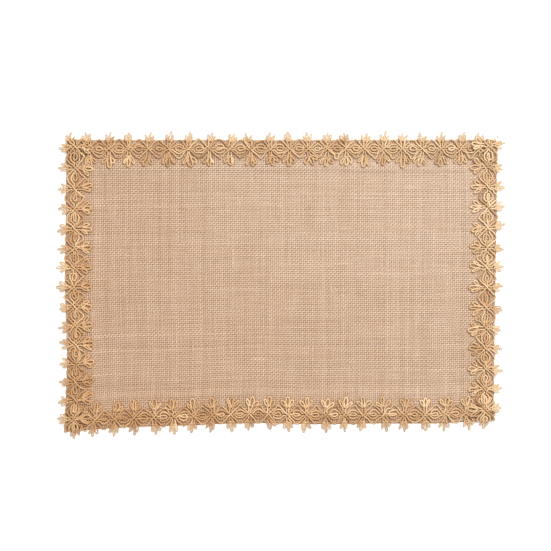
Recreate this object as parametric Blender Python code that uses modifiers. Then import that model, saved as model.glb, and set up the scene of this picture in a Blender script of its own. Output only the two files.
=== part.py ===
"""Hessian table mat with a braided jute lace sewn along all four sides.

The mat lies flat on z = 0. +X runs along its long sides, +Y towards its back edge and +Z up.
The cloth is one panel with a hem turned under on every side, so its rim is two layers thick.
The hem is a little deeper than the lace, so that the whole lace is sewn to the double rim.
Each side carries its own length of lace. Two frame cords zigzag along the lace and pass over
and under each other. Between two of their crossings the outer and the inner petal cord bow
apart into an eye, and at each crossing they throw a fan of three petals. Two rows of sewing
thread hold the lace down. The short sides' lace is sewn on last and laps over the ends of the
long sides' lace. All sizes are in metres.
"""
import math
from collections import namedtuple

import bmesh
import bpy
from mathutils import Matrix

# Cloth
CLOTH_LENGTH = 0.432
CLOTH_WIDTH = 0.285
CLOTH_THICKNESS = 0.0011
FOLD_RADIUS = 0.0005

# Lace: along the trim, and outwards from its middle line
LACE_PITCH = 0.0196
LACE_INSET = 0.0092
LACE_END_MARGIN = 0.0003
CORD_DIAMETER = 0.0013
FRAME_HALF_HEIGHT = 0.0088
FRAME_APEX_FLAT = 0.0024
CROSSING_LOW_HALF = 0.0009
CROSSING_RAMP = 0.0012

# Petal cords
EYE_HALF_HEIGHT = 0.0049
EYE_OPENING_HALF = 0.0016
PETAL_REACH = 0.0180
PETAL_HALF_WIDTH = 0.0022
PETAL_SHOULDER = 0.0136
PETAL_NOTCH = 0.0072
PETAL_NOTCH_HALF = 0.0016
SIDE_PETAL_REACH = 0.0119
SIDE_PETAL_SPREAD = 0.0070
FAN_FOOT_HALF = 0.0028

# Sewing thread
THREAD_DIAMETER = 0.0004
SEAM_FROM_APEX = 0.0010

# Fits
GAP = 0.0003
HEM_PAST_PETALS = 0.0013
LAP_MARGIN = 0.0010
LAP_RAMP = 0.0150

COLLECTION = "table_mat"
HESSIAN_COLOUR = (0.64, 0.45, 0.32)
JUTE_COLOUR = (0.60, 0.40, 0.23)
THREAD_COLOUR = (0.52, 0.36, 0.22)

HALF_CORD = CORD_DIAMETER / 2
HEM_DEPTH = LACE_INSET + PETAL_REACH + HEM_PAST_PETALS
RIM_TOP = 2 * CLOTH_THICKNESS
LOW_LEVEL = RIM_TOP + GAP + HALF_CORD
HIGH_LEVEL = LOW_LEVEL + CORD_DIAMETER + GAP
THREAD_LEVEL = HIGH_LEVEL + HALF_CORD + GAP + THREAD_DIAMETER / 2
LACE_TOP = THREAD_LEVEL + THREAD_DIAMETER / 2
LAP_LIFT = LACE_TOP - RIM_TOP
LAP_LENGTH = LACE_INSET + PETAL_REACH + LAP_MARGIN

Side = namedtuple("Side", "name run edge turn lapped")
SIDES = (
    Side("back", CLOTH_LENGTH, CLOTH_WIDTH / 2, 0.0, False),
    Side("front", CLOTH_LENGTH, CLOTH_WIDTH / 2, math.pi, False),
    Side("left", CLOTH_WIDTH, CLOTH_LENGTH / 2, math.pi / 2, True),
    Side("right", CLOTH_WIDTH, CLOTH_LENGTH / 2, -math.pi / 2, True),
)


def remove_everything():
    for thing in list(bpy.data.objects):
        bpy.data.objects.remove(thing, do_unlink=True)


def new_collection(name):
    collection = bpy.data.collections.new(name)
    bpy.context.scene.collection.children.link(collection)
    return collection


def new_material(name, colour, roughness):
    material = bpy.data.materials.new(name)
    material.use_nodes = True
    shader = material.node_tree.nodes["Principled BSDF"]
    shader.inputs["Base Color"].default_value = (*colour, 1.0)
    shader.inputs["Roughness"].default_value = roughness
    shader.inputs["Metallic"].default_value = 0.0
    return material


def add_box(name, size, centre, collection):
    """A box of the given size about the given centre, with its scale applied."""
    bpy.ops.mesh.primitive_cube_add(size=1.0, location=centre)
    box = bpy.context.object
    box.name = name
    box.data.name = name
    box.data.transform(Matrix.Diagonal((*size, 1.0)))
    for holder in list(box.users_collection):
        holder.objects.unlink(box)
    collection.objects.link(box)
    return box


def repeats_of(side):
    """How many whole repeats of the lace the side takes."""
    return int((side.run - 2 * LACE_END_MARGIN) / LACE_PITCH)


def crossings_of(side):
    """Where the frame cords cross, along the side's own length from its middle."""
    repeats = repeats_of(side)
    first = -repeats * LACE_PITCH / 2
    return [first + index * LACE_PITCH for index in range(repeats + 1)]


def lap_stations(side):
    """The places along a lapped lace where its slope changes, from the middle outwards."""
    if not side.lapped:
        return []
    raised = side.run / 2 - LAP_LENGTH
    return [raised - LAP_RAMP, raised]


def lift_at(side, along):
    """How far the lace is raised there, to clear the lace that it laps over."""
    if not side.lapped:
        return 0.0
    start, raised = lap_stations(side)
    share = (abs(along) - start) / (raised - start)
    return LAP_LIFT * min(max(share, 0.0), 1.0)


def frame_slope():
    """Sideways run of a frame cord for each unit along the lace, between two apexes."""
    return 2 * FRAME_HALF_HEIGHT / (LACE_PITCH - FRAME_APEX_FLAT)


def fan_base():
    """How close to the middle line a fan starts, clear of the cord that dips at the crossing."""
    dip_end = CROSSING_LOW_HALF + CROSSING_RAMP
    lean = math.hypot(1.0, frame_slope())
    return frame_slope() * dip_end + HALF_CORD * lean + GAP


def crossing_stations(dips, at_end):
    """Where a frame cord has points about a crossing, as (along, up) from the crossing."""
    if not dips:
        return [(0.0, HIGH_LEVEL)] if at_end else []
    foot = CROSSING_LOW_HALF + CROSSING_RAMP
    stations = [(-foot, HIGH_LEVEL), (-CROSSING_LOW_HALF, LOW_LEVEL),
                (CROSSING_LOW_HALF, LOW_LEVEL), (foot, HIGH_LEVEL)]
    if at_end:
        stations.insert(2, (0.0, LOW_LEVEL))
    return stations


def frame_cord_points(side, first_swing):
    """The middle line of one frame cord, as (along, outwards, up) points.

    The cord swings outwards and inwards in turn, and dips under its partner at every second
    crossing. Its partner has the other first_swing and dips at the crossings between.
    """
    crossings = crossings_of(side)
    first, last = crossings[0], crossings[-1]
    points = []
    for index, crossing in enumerate(crossings):
        swing = first_swing if index % 2 == 0 else -first_swing
        for along, height in crossing_stations(swing < 0, crossing in (first, last)):
            points.append((crossing + along, swing * frame_slope() * along, height))
        for side_of_apex in (-0.5, 0.5):
            along = crossing + LACE_PITCH / 2 + side_of_apex * FRAME_APEX_FLAT
            points.append((along, swing * FRAME_HALF_HEIGHT, HIGH_LEVEL))
    return [point for point in points if first <= point[0] <= last]


def with_stations(points, stations):
    """The same polyline, with a point wherever it passes one of the stations."""
    marks = sorted({-station for station in stations} | set(stations))
    result = [points[0]]
    for start, end in zip(points, points[1:]):
        for mark in marks:
            if start[0] < mark < end[0]:
                share = (mark - start[0]) / (end[0] - start[0])
                result.append(tuple(a + share * (b - a) for a, b in zip(start, end)))
        result.append(end)
    return result


def add_cord(name, points, diameter, side, material, collection):
    """A cord along the points, raised where its side laps over another."""
    curve = bpy.data.curves.new(name, "CURVE")
    curve.dimensions = "3D"
    curve.twist_mode = "Z_UP"
    curve.bevel_depth = diameter / 2
    curve.bevel_resolution = 0
    curve.use_fill_caps = True
    points = with_stations(points, lap_stations(side))
    spline = curve.splines.new("POLY")
    spline.points.add(len(points) - 1)
    for point, (along, outwards, up) in zip(spline.points, points):
        point.co = (along, outwards, up + lift_at(side, along), 1.0)
    curve.materials.append(material)
    cord = bpy.data.objects.new(name, curve)
    collection.objects.link(cord)
    return cord


def petal_row_outline(side):
    """Outline of a petal cord: fans of three petals, joined by the outer half of each eye."""
    half_fan = [(FAN_FOOT_HALF, EYE_HALF_HEIGHT), (SIDE_PETAL_SPREAD, SIDE_PETAL_REACH),
                (PETAL_NOTCH_HALF, PETAL_NOTCH), (PETAL_HALF_WIDTH, PETAL_SHOULDER)]
    fan = [(-along, outwards) for along, outwards in half_fan]
    fan.append((0.0, PETAL_REACH))
    fan += reversed(half_fan)
    near_side, far_side = [], []
    crossings = crossings_of(side)
    for crossing in crossings:
        near_side.append((crossing - FAN_FOOT_HALF, fan_base()))
        near_side.append((crossing + FAN_FOOT_HALF, fan_base()))
        if crossing != crossings[-1]:
            near_side.append((crossing + LACE_PITCH / 2, EYE_OPENING_HALF))
        far_side += [(crossing + along, outwards) for along, outwards in fan]
    return near_side + far_side[::-1]


def add_petal_mesh(name, side, material):
    """The mesh of a petal cord, extruded from its outline and raised where the side laps."""
    curve = bpy.data.curves.new(name, "CURVE")
    curve.dimensions = "2D"
    curve.fill_mode = "BOTH"
    curve.extrude = HALF_CORD
    outline = petal_row_outline(side)
    spline = curve.splines.new("POLY")
    spline.points.add(len(outline) - 1)
    for point, (along, outwards) in zip(spline.points, outline):
        point.co = (along, outwards, 0.0, 1.0)
    spline.use_cyclic_u = True
    blank = bpy.data.objects.new(name + "_outline", curve)
    bpy.context.scene.collection.objects.link(blank)
    bpy.context.view_layer.update()
    mesh = bpy.data.meshes.new_from_object(blank.evaluated_get(bpy.context.evaluated_depsgraph_get()))
    bpy.data.objects.remove(blank, do_unlink=True)
    bpy.data.curves.remove(curve)
    mesh.name = name
    work = bmesh.new()
    work.from_mesh(mesh)
    bmesh.ops.remove_doubles(work, verts=work.verts, dist=1e-6)
    for station in lap_stations(side):
        for mark in (-station, station):
            geometry = work.verts[:] + work.edges[:] + work.faces[:]
            bmesh.ops.bisect_plane(work, geom=geometry, dist=1e-7, plane_co=(mark, 0.0, 0.0),
                                   plane_no=(1.0, 0.0, 0.0))
    for vertex in work.verts:
        vertex.co.z += LOW_LEVEL + lift_at(side, vertex.co.x)
    work.to_mesh(mesh)
    work.free()
    mesh.materials.clear()
    mesh.materials.append(material)
    return mesh


def add_ground_cloth(material, collection, cutters):
    """The hessian panel: two layers thick along the hem and one layer thick inside it."""
    cloth = add_box("ground_cloth", (CLOTH_LENGTH, CLOTH_WIDTH, RIM_TOP), (0.0, 0.0, RIM_TOP / 2),
                    collection)
    inside = (CLOTH_LENGTH - 2 * HEM_DEPTH, CLOTH_WIDTH - 2 * HEM_DEPTH, 2 * CLOTH_THICKNESS)
    cutter = add_box("inside_hem_cutter", inside, (0.0, 0.0, CLOTH_THICKNESS + inside[2] / 2), cutters)
    cutter.hide_render = True
    cutter.display_type = "WIRE"
    sink = cloth.modifiers.new("inside_hem", "BOOLEAN")
    sink.operation = "DIFFERENCE"
    sink.solver = "EXACT"
    sink.object = cutter
    fold = cloth.modifiers.new("folded_edges", "BEVEL")
    fold.width = FOLD_RADIUS
    fold.segments = 2
    fold.limit_method = "ANGLE"
    cloth.data.materials.append(material)


def add_lace(side, jute, thread, collection):
    """One length of lace with its two rows of sewing thread, carried by an empty on its middle line."""
    carrier = bpy.data.objects.new(side.name + "_lace", None)
    carrier.rotation_euler.z = side.turn
    middle = side.edge - LACE_INSET
    carrier.location = (-math.sin(side.turn) * middle, math.cos(side.turn) * middle, 0.0)
    collection.objects.link(carrier)

    pieces = [
        add_cord(side.name + "_frame_cord_a", frame_cord_points(side, 1.0), CORD_DIAMETER, side, jute,
                 collection),
        add_cord(side.name + "_frame_cord_b", frame_cord_points(side, -1.0), CORD_DIAMETER, side, jute,
                 collection),
    ]
    petals = add_petal_mesh(side.name + "_petal_cord", side, jute)
    for name, turn in (("_outer_petal_cord", 0.0), ("_inner_petal_cord", math.pi)):
        row = bpy.data.objects.new(side.name + name, petals)
        row.rotation_euler.z = turn
        collection.objects.link(row)
        pieces.append(row)
    ends = crossings_of(side)[0], crossings_of(side)[-1]
    for name, sign in (("_outer_seam_thread", 1.0), ("_inner_seam_thread", -1.0)):
        seam = sign * (FRAME_HALF_HEIGHT - SEAM_FROM_APEX)
        line = [(end, seam, THREAD_LEVEL) for end in ends]
        pieces.append(add_cord(side.name + name, line, THREAD_DIAMETER, side, thread, collection))
    for piece in pieces:
        piece.parent = carrier


def main():
    remove_everything()
    collection = new_collection(COLLECTION)
    cutters = new_collection(COLLECTION + "_cutters")
    hessian = new_material("hessian", HESSIAN_COLOUR, 0.9)
    jute = new_material("jute_cord", JUTE_COLOUR, 0.85)
    thread = new_material("sewing_thread", THREAD_COLOUR, 0.7)
    add_ground_cloth(hessian, collection, cutters)
    for side in SIDES:
        add_lace(side, jute, thread, collection)
    bpy.context.view_layer.update()


main()
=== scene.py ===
"""The woven hessian, braided jute lace and sewing of the table mat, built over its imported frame."""
import math

import bpy
import numpy as np
from bpy.props import FloatProperty, FloatVectorProperty, IntProperty, PointerProperty
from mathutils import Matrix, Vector


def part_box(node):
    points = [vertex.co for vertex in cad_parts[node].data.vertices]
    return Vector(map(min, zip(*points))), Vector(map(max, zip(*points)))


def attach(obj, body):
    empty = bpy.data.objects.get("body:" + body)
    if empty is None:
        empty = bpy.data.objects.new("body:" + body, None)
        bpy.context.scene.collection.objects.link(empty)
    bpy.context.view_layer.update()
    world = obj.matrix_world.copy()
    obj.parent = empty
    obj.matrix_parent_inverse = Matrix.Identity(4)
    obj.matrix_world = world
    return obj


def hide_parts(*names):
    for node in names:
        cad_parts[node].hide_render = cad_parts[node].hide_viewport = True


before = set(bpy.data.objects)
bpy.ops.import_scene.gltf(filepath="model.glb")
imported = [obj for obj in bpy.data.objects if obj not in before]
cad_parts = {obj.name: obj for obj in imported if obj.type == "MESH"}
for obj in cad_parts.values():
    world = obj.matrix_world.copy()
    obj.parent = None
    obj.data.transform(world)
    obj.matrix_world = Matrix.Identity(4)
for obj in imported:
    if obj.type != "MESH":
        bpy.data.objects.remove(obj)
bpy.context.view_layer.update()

bl_info = {
    "name": "Hessian table mat",
    "version": (1, 0, 0),
    "blender": (4, 5, 0),
    "location": "View3D > Sidebar > Table Mat",
    "description": "Weaves the hessian, braids and sews on the jute lace, and sets the stage",
    "category": "Add Mesh",
}

MM = 0.001
FIBRE_RADIUS = 0.045 * MM
FIBRE_POINTS = 4
FIBRE_TAPER = 0.6
FIBRE_CURL = 0.1, 0.45              # least and most, as a share of the length
FIBRE_SCATTER = 0.35
LOOSE_FIBRE_LENGTHS = 0.8, 2.8      # shortest and longest, in millimetres
FRAYED_FIBRE_LENGTHS = 0.8, 2.6
BAKE_MARGIN = 0.005                 # kept clear round each half of the bake map

# The cloth's place and size
CLOTH_LOW, CLOTH_HIGH = (Vector(corner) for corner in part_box("ground_cloth"))
HALF_LENGTH = (CLOTH_HIGH.x - CLOTH_LOW.x) / 2
HALF_WIDTH = (CLOTH_HIGH.y - CLOTH_LOW.y) / 2
RIM_TOP = CLOTH_HIGH.z
LAYER = RIM_TOP / 2


def curve_between(a, b, c, d, t):
    """A smooth value from b (t = 0) to c (t = 1), with a before them and d after."""
    return b + 0.5 * t * (c - a + t * (2 * a - 5 * b + 4 * c - d + t * (3 * (b - c) + d - a)))


def through(values, share):
    """A smooth line through equally spaced values, read at share (0 to 1) of its length."""
    values = np.asarray(values, float)
    padded = np.concatenate([[2 * values[0] - values[1]], values, [2 * values[-1] - values[-2]]])
    place = np.clip(share, 0.0, 1.0) * (len(values) - 1)
    index = np.clip(place.astype(int), 0, len(values) - 2)
    return curve_between(*(padded[index + k] for k in range(4)), place - index)


class Side:
    """One side of the mat, with its lace's own directions: along it, outwards and up.

    turn is the side's angle about the mat's middle. shift is where its first repeat starts and stretch its
    repeat's share of the usual one. lapped is True where its ends lie over its neighbours'. washout is how
    far its outer tips are painted pale and grey, painted light of the bright background washing them out.
    creep is how far the lace has been eased along while it was sewn, in millimetres, in equal steps.
    """

    def __init__(self, name, turn, shift, stretch, lapped, faded, creep):
        frame_low, frame_high = (Vector(c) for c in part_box(name + "_frame_cord_a"))
        petal_low, petal_high = (Vector(c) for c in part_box(name + "_outer_petal_cord"))
        centre = (frame_low + frame_high) / 2
        self.name = name
        self.out = Vector((-math.sin(turn), math.cos(turn), 0.0))
        self.along = Vector((math.cos(turn), math.sin(turn), 0.0))
        self.middle = centre.dot(self.out)
        self.apex = (frame_high - frame_low).dot(Vector(map(abs, self.out))) / 2
        self.run = (frame_high - frame_low).dot(Vector(map(abs, self.along)))
        self.reach = max(petal_low.dot(self.out), petal_high.dot(self.out)) - self.middle
        self.edge = Vector((HALF_LENGTH, HALF_WIDTH, 0.0)).dot(Vector(map(abs, self.out)))
        self.half = Vector((HALF_LENGTH, HALF_WIDTH, 0.0)).dot(Vector(map(abs, self.along)))
        self.shift = shift
        self.stretch = stretch
        self.lapped = lapped
        self.faded = faded
        self.creep = creep

    def place(self, local):
        """World points of an array of (along, outwards, up) points."""
        along, out = np.array(self.along), np.array(self.out)
        world = local[:, :1] * along + (self.middle + local[:, 1:2]) * out
        world[:, 2] = local[:, 2]
        return world


SIDES = (
    Side("back", 0.0, 3.8 * MM, 1.0036, False, 0.80, (0.0, 0.5, 1.5, 4.5, 3.0, 0.2, -1.5, -1.5)),
    Side("front", math.pi, -9.3 * MM, 1.0056, False, 0.55, (-1.5, 0.8, 4.0, 1.8, 0.0, -3.0, -2.2, -3.0)),
    Side("left", math.pi / 2, -0.5 * MM, 0.988, True, 0.60, (7.0, 1.6, -0.8, -2.0, 0.0)),
    Side("right", -math.pi / 2, 4.2 * MM, 1.030, True, 0.45, (1.0, 3.0, 3.5, 4.0, 5.5)),
)
USUAL_REPEAT = 19.6 * MM
HEM_PAST_PETALS = 1.3 * MM
LACE_PITCH = SIDES[0].run / round(SIDES[0].run / USUAL_REPEAT)
LACE_INSET = SIDES[0].edge - SIDES[0].middle
HEM_DEPTH = LACE_INSET + SIDES[0].reach + HEM_PAST_PETALS

# How far the hand-cut, hand-sewn edges stray outwards, in millimetres, in equal steps along each
FRONT_EDGE_STRAY = (7.5, 3.0, 1.0, -1.5, -0.2, -1.0, -1.0, -4.0)
LEFT_EDGE_STRAY = (0.5, -2.0, 0.0, -0.8, -1.5)
RIGHT_EDGE_STRAY = (-2.5, -2.0, -0.8, 0.5, 0.5)


def stray(points):
    """Moves world points with the uneven edges, fully at an edge and less and less inwards."""
    moved = points.copy()
    x, y = points[:, 0] / HALF_LENGTH, points[:, 1] / HALF_WIDTH
    front = through(FRONT_EDGE_STRAY, (x + 1) / 2) * MM
    left = through(LEFT_EDGE_STRAY, (y + 1) / 2) * MM
    right = through(RIGHT_EDGE_STRAY, (y + 1) / 2) * MM
    moved[:, 1] -= front * (1 - y) / 2
    moved[:, 0] += right * (1 + x) / 2 - left * (1 - x) / 2
    return moved


def spread_out(field, spans, power):
    """The field smoothed over the given span of cells along each axis.

    Power 2 keeps the unit spread of random values, and power 1 keeps the field's total.
    """
    for axis, span in enumerate(spans):
        if span <= 0:
            continue
        reach = int(3 * span) + 1
        kernel = np.exp(-0.5 * (np.arange(-reach, reach + 1) / span) ** 2)
        kernel /= (kernel ** power).sum() ** (1 / power)
        count = field.shape[axis]
        size = count + len(kernel) - 1
        spread = np.fft.rfft(field, size, axis=axis)
        window = [1] * field.ndim
        window[axis] = -1
        spread = spread * np.fft.rfft(kernel, size).reshape(window)
        whole = np.fft.irfft(spread, size, axis=axis)
        field = np.take(whole, np.arange(reach, reach + count), axis=axis)
    return field


def smoothed(random, shape, spans):
    """Random values with unit spread, smoothed over the given span of cells along each axis."""
    return spread_out(random.standard_normal(shape), spans, 2)


# ---------------------------------------------------------------- meshes of thin tubes

def normalised(vectors):
    """The vectors at unit length."""
    return vectors / np.maximum(np.linalg.norm(vectors, axis=-1, keepdims=True), 1e-12)


def angles_round(sides):
    """The angles of a ring's corners."""
    return np.arange(sides) * 2 * math.pi / sides


def rings_along(line, side, half_width, half_height, angles):
    """Rings of points about a line. side is the width's direction at each point of the line."""
    tangent = normalised(np.gradient(line, axis=0))
    side = normalised(side - tangent * (side * tangent).sum(1, keepdims=True))
    up = np.cross(tangent, side)
    wide = side[:, None] * (half_width[:, None] * np.cos(angles))[..., None]
    high = up[:, None] * (half_height[:, None] * np.sin(angles))[..., None]
    return line[:, None] + wide + high


def tubes_object(name, tubes, material):
    """One mesh object of closed tubes. Each is (rings, and at each ring: tone, painted washout, metres
    along).
    """
    sides = tubes[0][0].shape[1]
    corners, quads, caps, tones, washouts, runs, walls = [], [], [], [], [], [], []
    base = 0
    around = np.arange(sides)
    onward = (around + 1) % sides
    for rings, tone, faded, length in tubes:
        count = len(rings)
        ring = base + np.arange(count - 1)[:, None] * sides
        quads.append(np.stack([ring + around, ring + onward, ring + sides + onward,
                               ring + sides + around], -1).reshape(-1, 4))
        caps += [base + around[::-1], base + (count - 1) * sides + around]
        corners.append(rings.reshape(-1, 3))
        tones.append(np.repeat(tone, sides))
        washouts.append(np.repeat(faded, sides))
        start = np.repeat(length[:-1], sides)
        end = np.repeat(length[1:], sides)
        runs.append(np.stack([start, start, end, end], -1))
        wall = np.tile(around, count - 1) / sides
        next_wall = wall + 1 / sides
        walls.append(np.stack([wall, next_wall, next_wall, wall], -1))
        base += count * sides
    corners = np.concatenate(corners)
    quads = np.concatenate(quads)
    caps = np.array(caps)
    mesh = bpy.data.meshes.new(name)
    mesh.vertices.add(len(corners))
    mesh.vertices.foreach_set("co", corners.astype(np.float32).ravel())
    loops = np.concatenate([quads.ravel(), caps.ravel()]).astype(np.int32)
    mesh.loops.add(len(loops))
    mesh.loops.foreach_set("vertex_index", loops)
    starts = np.concatenate([np.arange(len(quads)) * 4,
                             len(quads) * 4 + np.arange(len(caps)) * sides]).astype(np.int32)
    mesh.polygons.add(len(starts))
    mesh.polygons.foreach_set("loop_start", starts)
    mesh.update(calc_edges=True)
    mesh.validate()
    mesh.polygons.foreach_set("use_smooth", np.ones(len(starts), bool))
    for layer, values in (("tone", tones), ("faded", washouts)):
        attribute = mesh.attributes.new(layer, "FLOAT", "POINT")
        attribute.data.foreach_set("value", np.concatenate(values).astype(np.float32))

    # The bake map lies flat over the piece, with the faces that look down in its upper half
    low, high = corners.min(0), corners.max(0)
    flat = (corners[loops][:, :2] - low[:2]) / (high[:2] - low[:2])
    a, b, c, d = (corners[quads[:, k]] for k in range(4))
    faces_down = np.cross(c - a, d - b)[:, 2] < 0
    down = np.concatenate([np.repeat(faces_down, 4), np.zeros(caps.size, bool)])
    flat[:, 0] = flat[:, 0] * (1 - 2 * BAKE_MARGIN) + BAKE_MARGIN
    flat[:, 1] = flat[:, 1] * (0.5 - 2 * BAKE_MARGIN) + BAKE_MARGIN + 0.5 * down
    mesh.uv_layers.new(name="OFBake").data.foreach_set("uv", flat.astype(np.float32).ravel())
    # The lie map runs along each tube, in metres, and once round it
    lie = np.zeros((len(loops), 2))
    lie[: quads.size, 0] = np.concatenate(runs).ravel()
    lie[: quads.size, 1] = np.concatenate(walls).ravel()
    mesh.uv_layers.new(name="lie").data.foreach_set("uv", lie.astype(np.float32).ravel())
    mesh.materials.append(material)
    piece = bpy.data.objects.new(name, mesh)
    bpy.context.scene.collection.objects.link(piece)
    return piece


def fibre(random, start, direction, length, like):
    """One fine fibre as a tube, leaving its start in a direction and curling a little.

    like is the tube that it stands off, which it takes its number of sides and its painted washout from.
    """
    share = np.linspace(0.0, 1.0, FIBRE_POINTS)
    curl = normalised(random.standard_normal(3)) * random.uniform(*FIBRE_CURL)
    line = start + length * (share[:, None] * direction + share[:, None] ** 2 * curl)
    line[:, 2] = np.maximum(line[:, 2], 0.1 * MM)
    radius = FIBRE_RADIUS * (1 - FIBRE_TAPER * share)
    side = np.tile(np.cross(direction, (0.3, 0.2, 0.9)), (len(share), 1))
    rings = rings_along(line, side, radius, radius, angles_round(like[0].shape[1]))
    tone = np.full(len(share), random.normal(1.0, 1.0))
    return rings, tone, np.full(len(share), like[2][0]), share * length


def loose_fibres(random, tubes, count):
    """Fibres that stand off the upper surface of tubes, at places taken by chance."""
    sizes = np.array([len(tube[0]) for tube in tubes], float)
    made = []
    for index in random.choice(len(tubes), count, p=sizes / sizes.sum()):
        rings = tubes[index][0]
        ring = random.integers(1, len(rings) - 1)
        middle = rings[ring].mean(0)
        start = rings[ring, random.integers(rings.shape[1])]
        off = normalised(start - middle)
        if off[2] < 0.1 or middle[2] < LAYER:
            continue
        onward = normalised(rings[ring + 1].mean(0) - middle) * random.choice((-1, 1))
        onward = off * random.uniform(0.2, 0.8) + onward
        direction = normalised(onward + FIBRE_SCATTER * random.standard_normal(3))
        length = random.uniform(*LOOSE_FIBRE_LENGTHS) * MM
        made.append(fibre(random, start, direction, length, tubes[index]))
    return made


def frayed_ends(random, tubes):
    """Tufts of fibres at both cut ends of tubes."""
    made = []
    for tube in tubes:
        rings = tube[0]
        for end, inner in ((0, 2), (-1, -3)):
            middle = rings[end].mean(0)
            onward = normalised(middle - rings[inner].mean(0))
            for start in rings[end]:
                direction = normalised(onward + FIBRE_SCATTER * random.standard_normal(3))
                length = random.uniform(*FRAYED_FIBRE_LENGTHS) * MM
                made.append(fibre(random, middle * 0.4 + start * 0.6, direction, length, tube))
    return made


# ---------------------------------------------------------------- hessian

FOLD_RADIUS = LAYER / 2
ARC = math.pi * FOLD_RADIUS
YARN_ANGLES = np.radians([18, 90, 162, 234, 306])
# How many yarns, across and along, a single yarn's wander and the whole weave's drift carry over
WANDER_SPANS, DRIFT_SPANS = (14, 0.7), (40, 12)
DRIFT_DIES_OVER = 12 * MM
# Weights of the changes in a yarn's width and tone, and their spans in half pitches
WIDTH_CHANGES = (1.0, 22), (0.6, 3)
TONE_CHANGES = (0.5, 40), (0.45, 5)
THINNEST, THICKEST = 0.62, 1.28     # as shares of the usual width, slubs aside
SLUB_SPAN, SLUB_FROM = 9, 2.3       # a slub is where the swelling strays this far from the usual


def folded(across, half):
    """Where a flat coordinate comes to lie once its edge is turned under.

    Returns the place, how far it has dropped, and the face's direction sideways and up.
    """
    flat_end = half - 2 * FOLD_RADIUS
    sign, reach = np.sign(across), np.abs(across)
    turn = np.clip(reach - flat_end, 0.0, ARC) / FOLD_RADIUS
    under = np.maximum(reach - flat_end - ARC, 0.0)
    place = sign * (np.minimum(reach, flat_end) + FOLD_RADIUS * np.sin(turn) - under)
    return place, FOLD_RADIUS * (1 - np.cos(turn)), sign * np.sin(turn), np.cos(turn)


def cut_half(half):
    """Half the flat size of a side, hems included."""
    return half - 2 * FOLD_RADIUS + ARC + HEM_DEPTH - 2 * FOLD_RADIUS


def eased(share):
    """A share from 0 to 1 that starts and ends gently."""
    share = np.clip(share, 0.0, 1.0)
    return share * share * (3 - 2 * share)


def lay_cloth(a, b, offset, settings):
    """World points of the cloth's flat coordinates a, b, raised by offset off its face."""
    x, drop_x, lean_x, up_x = folded(a, HALF_LENGTH)
    y, drop_y, lean_y, up_y = folded(b, HALF_WIDTH)
    inside = np.minimum(HALF_LENGTH - np.abs(x), HALF_WIDTH - np.abs(y))
    over_hem = 1 - eased((inside - HEM_DEPTH) / settings.hem_ease)
    z = LAYER / 2 + LAYER * over_hem - drop_x - drop_y
    points = np.stack([x + lean_x * offset, y + lean_y * offset, z + up_x * up_y * offset], -1)
    return stray(points)


def mitre_kept(a, b):
    """True where the flat cloth is kept once each corner's hem is mitred."""
    x, drop_x = folded(a, HALF_LENGTH)[:2]
    y, drop_y = folded(b, HALF_WIDTH)[:2]
    from_end, from_side = HALF_LENGTH - np.abs(x), HALF_WIDTH - np.abs(y)
    under_x, under_y = drop_x > FOLD_RADIUS, drop_y > FOLD_RADIUS
    return ~((under_x & under_y) | (under_x & (from_side < from_end)) | (under_y & (from_end < from_side)))


def runs_of(kept):
    """Where each unbroken run of True starts and ends."""
    return np.flatnonzero(np.diff(np.concatenate([[0], kept.astype(int), [0]]))).reshape(-1, 2)


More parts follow.
